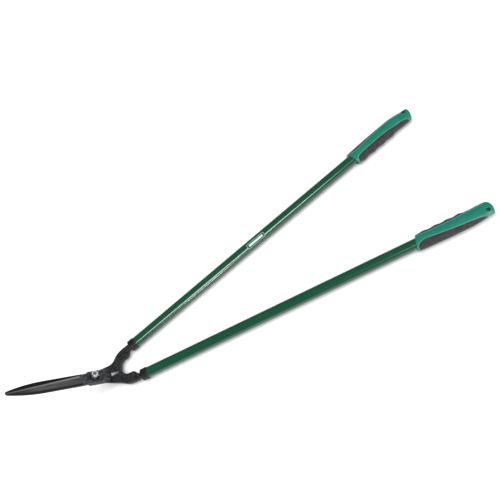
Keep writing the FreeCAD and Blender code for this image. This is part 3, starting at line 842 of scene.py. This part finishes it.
def pad_outline(shape, toward_palm):
    """The pad's rim on the grip's outside, above the tube, as points (run, across, up)."""
    curve = edge_curve(shape)
    run = curve[:, 0] * grip_length
    palm, finger, thick = grip_sides(run)
    half = palm_reach if toward_palm else finger_reach
    across = np.clip(curve[:, 1] * half * (1 if toward_palm else -1), -finger, palm)
    middle = (palm - finger) / 2
    wide = (palm + finger) / 2
    up = thick * np.sqrt(np.clip(1 - ((across - middle) / wide) ** 2, 0, 1))
    return np.stack([run, across, up], 1)


def depth_in_pad(points, outline, toward_palm):
    """Distance to the pad's rim: positive inside the pad, negative outside it."""
    folded = points.reshape(-1, 3) * (1, 1, 0) + np.abs(points.reshape(-1, 3)) * (0, 0, 1)
    sparse = outline[::3]
    batches = [folded[start:start + 20000] for start in range(0, len(folded), 20000)]
    distance = np.sqrt(np.concatenate([((batch[:, None] - sparse[None]) ** 2).sum(-1).min(1)
                                       for batch in batches]))
    order = np.argsort(outline[:, 0])
    line = np.interp(folded[:, 0], outline[order, 0], outline[order, 1])
    within = (folded[:, 0] > outline[:, 0].min()) & (folded[:, 0] < outline[:, 0].max())
    inside = (folded[:, 1] > line if toward_palm else folded[:, 1] < line) & within
    return np.where(inside, distance, -distance).reshape(points.shape[:-1])


palm_rim = pad_outline(palm_edge, True)
finger_rim = pad_outline(finger_edge, False)
pad_seat = 1.3             # how deep the core is recessed under a pad
pad_under = 1.25           # underside of a pad, below the grip's outside
strip_sink = 0.55          # strip between its two raised edges
strip_fades = (22.0, 8.0)  # from the grip's end: where the sunk strip begins to fade, and is gone
rim_round = 2.2
mouth_round = 1.0
collar_band = 7.0
collar_groove = 0.35
groove_half = 0.5
pad_edge_round = 1.1       # width of the rounding along a pad's rim
pad_edge_fall = 0.75       # how far it comes down there
bore_radius = 12.54


def core_points():
    """Rows of the core: bore, front face, rim, outside, rounded end, each a ring of one grid."""
    angle = np.linspace(0, 2 * math.pi, 208, endpoint=False)[None, :]
    turn = np.linspace(0, math.pi / 2, 7)[:, None]
    share = np.linspace(0, 1, 380)[:, None]
    body = grip_surface(share, angle, pull=rim_round * (1 - 2 * share))
    front = grip_surface(0 * turn, angle, inset=mouth_round * (1 - np.sin(turn)),
                         pull=rim_round * (1 - np.cos(turn)))
    end = grip_surface(1 + 0 * turn, angle, inset=rim_round * (1 - np.cos(turn)),
                       pull=rim_round * (np.sin(turn) - 1))
    cap_scale = np.linspace(0.96, 0.04, 26)[:, None]
    cap = grip_surface(1 + 0 * cap_scale, angle, inset=rim_round, scale=cap_scale)
    circle = np.stack([0 * angle, bore_radius * np.cos(angle), bore_radius * np.sin(angle)], -1)
    mouth = circle + front[:1] * (1, 0, 0)
    depth = tube_end - grip_start
    bottom = circle + (depth, 0, 0)
    wall = mouth + (bottom - mouth) * np.linspace(0.999, 0.02, 14)[:, None, None]
    floor_disc = circle[None, 0] * np.linspace(0.1, 0.98, 5)[:, None, None] + (depth, 0, 0)
    face = mouth + (front[:1] - mouth) * np.linspace(0.0, 0.9, 6)[:, None, None]
    return np.concatenate([floor_disc, bottom, wall, face, front, body[1:-1], end[1:], cap])


def shaped_core(points):
    """Sinks the core's outside under the pads and between the strip's edges; marks the seams."""
    in_palm = depth_in_pad(points, palm_rim, True)
    in_finger = depth_in_pad(points, finger_rim, False)
    depth = np.maximum(in_palm, in_finger)
    palm, finger, thick = grip_sides(points[..., 0])
    middle = (palm - finger) / 2
    wide = (palm + finger) / 2
    off_middle = points[..., 1] - middle
    outward = np.stack([0 * middle, off_middle / wide ** 2, points[..., 2] / thick ** 2], -1)
    outward = outward / np.maximum(np.linalg.norm(outward, axis=-1, keepdims=True), 1e-9)
    level = (off_middle / wide) ** 2 + (points[..., 2] / thick) ** 2
    outside = smooth_step(level, 0.90, 0.985)
    sink = pad_seat * smooth_step(depth, -0.05, 0.55)
    away = smooth_step(-depth, 1.0, 3.0)
    past_collar = smooth_step(points[..., 0], collar_band, collar_band + 3.0)
    before_end = smooth_step(grip_length - points[..., 0], strip_fades[1], strip_fades[0])
    sink = sink + strip_sink * away * past_collar * before_end
    from_groove = (points[..., 0] - collar_band) / groove_half
    groove = collar_groove * np.exp(-from_groove ** 2) * smooth_step(-depth, 0.5, 1.0)
    return points - outward * ((sink + groove) * outside)[..., None], depth


def pad_points(rim, shape_from, shape_to, toward_palm):
    """Closed shell of a pad: (share along, share across) on its outside, then on its underside.

    Across it, the angle runs from the rim below the tube to the rim above it. The outside comes
    down to the rim in a quarter round, so that a groove is left along the hard core.
    """
    ease = (1 - np.cos(np.linspace(0.0, 1.0, 300) * math.pi)) / 2
    run = shape_from * grip_length + ease * (shape_to - shape_from) * grip_length
    order = np.argsort(rim[:, 0])
    line = np.interp(run, rim[order, 0], rim[order, 1])
    palm, finger, thick = grip_sides(run)
    wide = (palm + finger) / 2
    middle = (palm - finger) / 2
    toward = 1 if toward_palm else -1
    half_angle = np.arccos(np.clip(toward * (line - middle) / wide, -1, 1))
    half_angle = np.maximum(half_angle, 0.004)
    share = np.sin(np.linspace(-1, 1, 61) * math.pi / 2)[None, :]
    angle = share * half_angle[:, None]

    def at(inset):
        across = middle[:, None] + toward * (wide[:, None] - inset) * np.cos(angle)
        up = (thick[:, None] - inset) * np.sin(angle)
        return np.stack([run[:, None] + 0 * angle, across, up], -1)

    depth = np.maximum(depth_in_pad(at(0.0), rim, toward_palm), 0)
    edge = np.clip(depth / pad_edge_round, 0, 1)
    fall = pad_edge_fall * (1 - np.sqrt(1 - (1 - edge) ** 2))
    outer = at(0.05 + fall)
    inner = at(np.maximum(np.full_like(angle, pad_under), 0.05 + fall + 0.02))
    return np.concatenate([outer, inner[:, ::-1]], 1), np.concatenate([depth, depth[:, ::-1]], 1)


hard_green = Finish("grip_green", {"IOR": 1.5, "Coat Weight": 0.25, "Coat Roughness": 0.18})
green_place = hard_green.place()
green_cloud = hard_green.noise(green_place, 16 * mm, 3.0)
green_grain = hard_green.noise(green_place, 0.5 * mm, 2.0, 0.5)
green_depth = hard_green.mark("depth")
# Painted shade: the core goes near black next to the pads' rims and under them; the same mask also makes it
# rougher there.
green_seam_shade = green_depth.step(-0.9, 0.1)
# Painted highlight: a lighter band on the core between 0.8 and 3.4 mm from each pad's rim, along the
# strip's raised edges.
green_edge_highlight = green_depth.step(-3.4, -2.2) * (1 - green_depth.step(-1.4, -0.8))
green_shade = hard_green.mixed(green_cloud, (0.003, 0.110, 0.074, 1), (0.005, 0.160, 0.110, 1))
# The painted highlight is mixed into the core's colour here.
green_shade = hard_green.mixed(green_edge_highlight * 0.4, green_shade, (0.10, 0.36, 0.29, 1))
# The painted shade at the pads' rims darkens the core's colour here.
hard_green.feed("Base Color", hard_green.mixed(green_seam_shade * 0.85, green_shade, (0.001, 0.020, 0.015, 1)))
hard_green.feed("Roughness", 0.3 + green_grain * 0.14 + green_seam_shade * 0.2)
hard_green.relief(green_grain, 0.035 * mm)

soft_black = Finish("grip_rubber", {"IOR": 1.45, "Sheen Weight": 0.15, "Sheen Roughness": 0.5})
soft_place = soft_black.place()
soft_cells = soft_black.grains(soft_place, 0.8 * mm)
soft_cloud = soft_black.noise(soft_place, 6 * mm, 5.0, 0.7)
soft_speck = soft_black.noise(soft_place, 0.35 * mm, 2.0, 0.6)
# Painted shade: each pad is painted near black along its rounded rim, fading out by about 1.3 mm inside it.
soft_seam_shade = 1 - soft_black.mark("depth").step(0.1, 1.3)
soft_clouded = soft_cloud.step(0.3, 0.7)
soft_specked = soft_speck.step(0.55, 0.8) * 0.5
soft_shade = soft_black.mixed(soft_clouded, (0.012, 0.011, 0.014, 1), (0.040, 0.033, 0.041, 1))
soft_shade = soft_black.mixed(soft_specked, soft_shade, (0.075, 0.068, 0.078, 1))
soft_black.feed("Base Color", soft_black.mixed(soft_seam_shade * 0.8, soft_shade, (0.006, 0.006, 0.007, 1)))
soft_black.feed("Roughness", 0.62 + soft_cells * 0.25)
soft_black.relief(soft_cells * 0.7 + soft_speck * 0.3, 0.16 * mm)

core_grid, core_depth = shaped_core(core_points())
palm_end = palm_rim[:, 0].max() / grip_length
finger_end = finger_rim[:, 0].max() / grip_length
palm_grid, palm_depth = pad_points(palm_rim, palm_edge[0, 0], palm_end, True)
finger_grid, finger_depth = pad_points(finger_rim, finger_edge[0, 0], finger_end, False)


def hang_hole_cutter(side):
    """Waisted plug: radius grows towards both faces, so that the hole's lips come out rounded."""
    height = np.linspace(-16, 16, 81)
    flare = 1.6 * np.clip((np.abs(height) - 7.8) / 2.0, 0, 4) ** 1.5
    profile = np.stack([height, hole_radius + flare], 1)
    grid = turned_points(profile, 64)[..., [1, 2, 0]]
    grid = grid + (grip_start + grip_length - hole_from_end, hole_offset, 0)
    return skin("hole_cutter", on_handle(grid, side), hard_green.material)


def drilled(piece, cutter):
    """Takes the cutter out of the piece for good and removes it."""
    cut = piece.modifiers.new("hang_hole", "BOOLEAN")
    cut.operation = "DIFFERENCE"
    cut.solver = "EXACT"
    cut.object = cutter
    shaped = bpy.data.meshes.new_from_object(piece.evaluated_get(bpy.context.evaluated_depsgraph_get()))
    piece.modifiers.clear()
    piece.data = shaped
    bpy.data.objects.remove(cutter)


for name, side, body in both_sides:
    start = np.array((grip_start, 0, 0))
    core = skin(name + "_grip_moulding", on_handle(core_grid + start, side), hard_green.material,
                marks={"depth": core_depth})
    drilled(core, hang_hole_cutter(side))
    palm_pad = skin(name + "_palm_rubber", on_handle(palm_grid + start, side), soft_black.material,
                    marks={"depth": palm_depth})
    finger_pad = skin(name + "_finger_rubber", on_handle(finger_grid + start, side), soft_black.material,
                      marks={"depth": finger_depth})
    for piece, node, slot in ((core, "_grip_core", "grip_plastic"),
                              (palm_pad, "_palm_pad", "grip_rubber"),
                              (finger_pad, "_finger_pad", "grip_rubber")):
        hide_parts(name + node)
        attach(piece, body)
